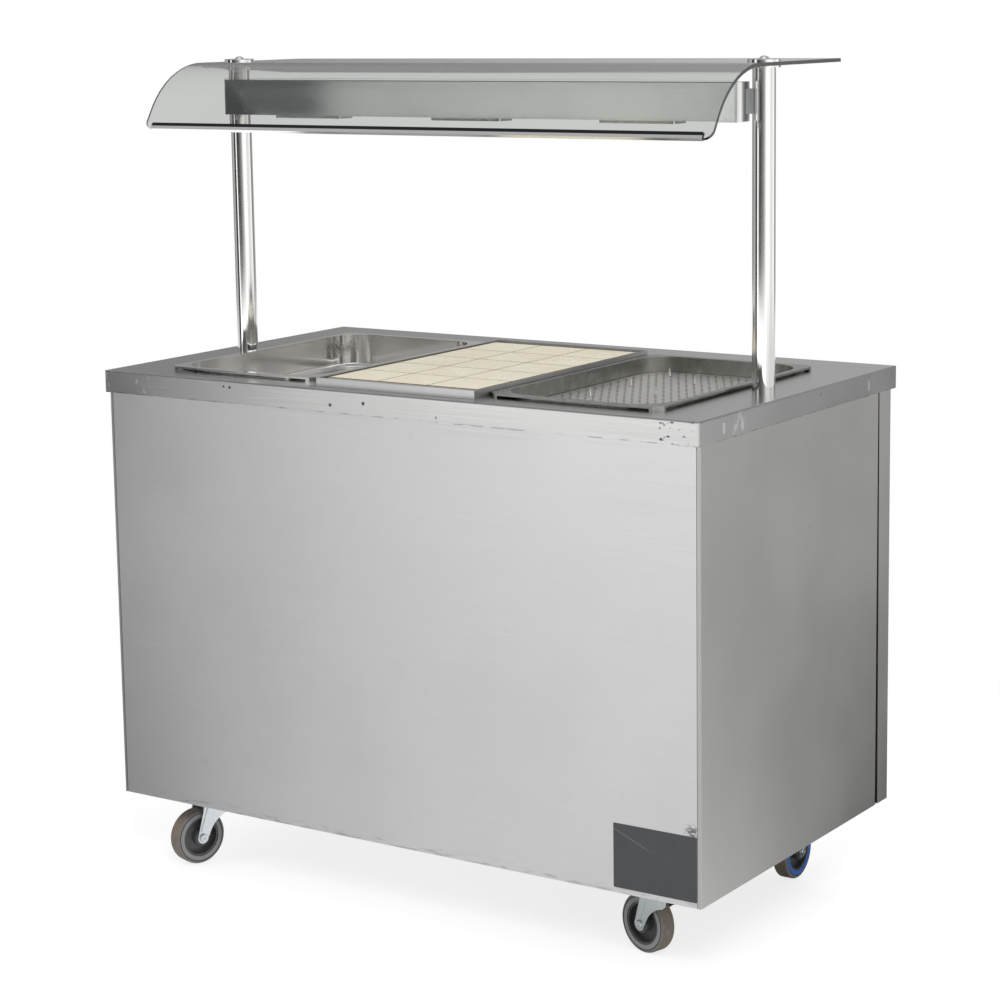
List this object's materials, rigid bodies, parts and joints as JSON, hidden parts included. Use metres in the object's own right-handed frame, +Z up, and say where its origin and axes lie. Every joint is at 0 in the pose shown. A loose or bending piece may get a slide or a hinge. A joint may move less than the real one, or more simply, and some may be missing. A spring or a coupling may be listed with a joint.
{
  "type": "heated carvery trolley",
  "caption": "Stainless heated carvery trolley on swivel castors: food pans, tiled carving tray, hot cupboard with rear doors, lamp gantry and curved glass canopy.",
  "frame": {"origin": "on the floor below the centre of the worktop", "axes": "+X along the length to the right as seen from the customers' side, +Y towards the operator's side with the doors and controls, +Z up"},
  "size_m": [1.206, 0.7, 1.4506],
  "materials": {
    "worktop_steel": "brushed stainless, satin",
    "panel_steel": "brushed stainless, satin, lightly scratched",
    "liner_steel": "bright stainless",
    "galvanised": "dull zinc-coated steel",
    "polished_steel": "polished stainless",
    "worn_pan_steel": "dull, mottled stainless",
    "element_steel": "heat-darkened steel",
    "zinc": "bright zinc plate",
    "black_plastic": "moulded, matt",
    "dark_plastic": "moulded, satin",
    "red_plastic": "moulded, gloss",
    "amber_plastic": "translucent lens",
    "seal_rubber": "silicone, matt",
    "tyre_rubber": "grey non-marking rubber",
    "quartz": "quartz tube",
    "tinted_glass": "grey-tinted, polished",
    "cream_glaze": "cream, gloss",
    "grout": "brown grout, matt"
  },
  "bodies": {
    "cabinet": {"worktop": "worktop_steel", "front_panel": "panel_steel", "side_panel_left": "panel_steel", "side_panel_right": "panel_steel", "base_pan": "galvanised", "chassis_rails": "galvanised", "back_bulkhead": "panel_steel", "rear_frame": "panel_steel", "cupboard_liner": "liner_steel", "shelf": "liner_steel", "well_tanks": "galvanised", "heating_elements": "element_steel", "control_fascia": "panel_steel", "control_gear": "black_plastic", "pilot_lamps": "amber_plastic", "cable_gland": "black_plastic", "door_fittings": "zinc", "gantry_post_left": "polished_steel", "gantry_post_right": "polished_steel", "post_fittings": "galvanised", "lamp_housing": "panel_steel", "housing_end_caps": "panel_steel", "lamp_reflectors": "polished_steel", "heat_lamps": "quartz", "glass_canopy": "tinted_glass", "canopy_trim": "polished_steel", "canopy_fixings": "polished_steel", "caster_plates": "zinc"},
    "left_pan": {"left_pan": "polished_steel"},
    "carving_pan": {"carving_pan": "worn_pan_steel"},
    "spike_plate": {"spike_plate": "worn_pan_steel"},
    "tile_tray": {"tile_tray": "panel_steel", "tile_bed": "grout", "tiles": "cream_glaze"},
    "cupboard_knob": {"cupboard_knob": "black_plastic"},
    "well_knob": {"well_knob": "black_plastic"},
    "lamp_rocker": {"lamp_rocker": "red_plastic"},
    "door_left": {"door_left_shell": "panel_steel", "door_left_liner": "liner_steel", "door_left_seal": "seal_rubber", "door_left_handle": "polished_steel"},
    "brake_pedal_left": {"brake_pedal_left": "zinc"},
    "door_right": {"door_right_shell": "panel_steel", "door_right_liner": "liner_steel", "door_right_seal": "seal_rubber", "door_right_handle": "polished_steel"},
    "brake_pedal_right": {"brake_pedal_right": "zinc"},
    "caster_fl_swivel": {"caster_fl_fork": "zinc"},
    "caster_fl_wheel": {"caster_fl_hub": "dark_plastic", "caster_fl_tyre": "tyre_rubber"},
    "caster_fr_swivel": {"caster_fr_fork": "zinc"},
    "caster_fr_wheel": {"caster_fr_hub": "dark_plastic", "caster_fr_tyre": "tyre_rubber"},
    "caster_rl_swivel": {"caster_rl_fork": "zinc"},
    "caster_rl_wheel": {"caster_rl_hub": "dark_plastic", "caster_rl_tyre": "tyre_rubber"},
    "caster_rr_swivel": {"caster_rr_fork": "zinc"},
    "caster_rr_wheel": {"caster_rr_hub": "dark_plastic", "caster_rr_tyre": "tyre_rubber"}
  },
  "joints": [
    {"name": "door_left_hinge", "type": "hinge", "parent": "cabinet", "child": "door_left", "pos_m": [-0.55, 0.325, 0.45], "axis": [0, 0, 1], "range_deg": [0, 110]},
    {"name": "door_right_hinge", "type": "hinge", "parent": "cabinet", "child": "door_right", "pos_m": [0.55, 0.325, 0.45], "axis": [0, 0, -1], "range_deg": [0, 110]},
    {"name": "left_pan_lift", "type": "slide", "parent": "cabinet", "child": "left_pan", "axis": [0, 0, 1], "range_m": [0, 0.15]},
    {"name": "carving_pan_lift", "type": "slide", "parent": "cabinet", "child": "carving_pan", "axis": [0, 0, 1], "range_m": [0, 0.15]},
    {"name": "spike_plate_lift", "type": "slide", "parent": "carving_pan", "child": "spike_plate", "axis": [0, 0, 1], "range_m": [0, 0.15]},
    {"name": "tile_tray_lift", "type": "slide", "parent": "cabinet", "child": "tile_tray", "axis": [0, 0, 1], "range_m": [0, 0.15]},
    {"name": "cupboard_knob_turn", "type": "hinge", "parent": "cabinet", "child": "cupboard_knob", "pos_m": [-0.3, 0.331, 0.809], "axis": [0, 1, 0], "range_deg": [0, 270]},
    {"name": "well_knob_turn", "type": "hinge", "parent": "cabinet", "child": "well_knob", "pos_m": [-0.18, 0.331, 0.809], "axis": [0, 1, 0], "range_deg": [0, 270]},
    {"name": "lamp_rocker_tip", "type": "hinge", "parent": "cabinet", "child": "lamp_rocker", "pos_m": [0.06, 0.329, 0.809], "axis": [0, 0, 1], "range_deg": [0, 14]},
    {"name": "caster_fl_swivel", "type": "hinge", "parent": "cabinet", "child": "caster_fl_swivel", "pos_m": [-0.475, -0.245, 0.105], "axis": [0, 0, 1], "continuous": true},
    {"name": "caster_fl_roll", "type": "hinge", "parent": "caster_fl_swivel", "child": "caster_fl_wheel", "pos_m": [-0.48582, -0.27829, 0.05], "axis": [-0.9511, 0.309, 0], "continuous": true},
    {"name": "caster_fr_swivel", "type": "hinge", "parent": "cabinet", "child": "caster_fr_swivel", "pos_m": [0.475, -0.245, 0.105], "axis": [0, 0, 1], "continuous": true},
    {"name": "caster_fr_roll", "type": "hinge", "parent": "caster_fr_swivel", "child": "caster_fr_wheel", "pos_m": [0.44136, -0.23535, 0.05], "axis": [0.2756, 0.9613, 0], "continuous": true},
    {"name": "caster_rl_swivel", "type": "hinge", "parent": "cabinet", "child": "caster_rl_swivel", "pos_m": [-0.475, 0.245, 0.105], "axis": [0, 0, 1], "continuous": true},
    {"name": "caster_rl_roll", "type": "hinge", "parent": "caster_rl_swivel", "child": "caster_rl_wheel", "pos_m": [-0.44328, 0.25979, 0.05], "axis": [0.4226, -0.9063, 0], "continuous": true},
    {"name": "caster_rr_swivel", "type": "hinge", "parent": "cabinet", "child": "caster_rr_swivel", "pos_m": [0.475, 0.245, 0.105], "axis": [0, 0, 1], "continuous": true},
    {"name": "caster_rr_roll", "type": "hinge", "parent": "caster_rr_swivel", "child": "caster_rr_wheel", "pos_m": [0.475, 0.21, 0.05], "axis": [-1, 0, 0], "continuous": true},
    {"name": "brake_left_press", "type": "hinge", "parent": "caster_rl_swivel", "child": "brake_pedal_left", "pos_m": [-0.48769, 0.23908, 0.097], "axis": [0.4226, -0.9063, 0], "range_deg": [0, 12]},
    {"name": "brake_right_press", "type": "hinge", "parent": "caster_rr_swivel", "child": "brake_pedal_right", "pos_m": [0.475, 0.259, 0.097], "axis": [-1, 0, 0], "range_deg": [0, 12]}
  ]
}
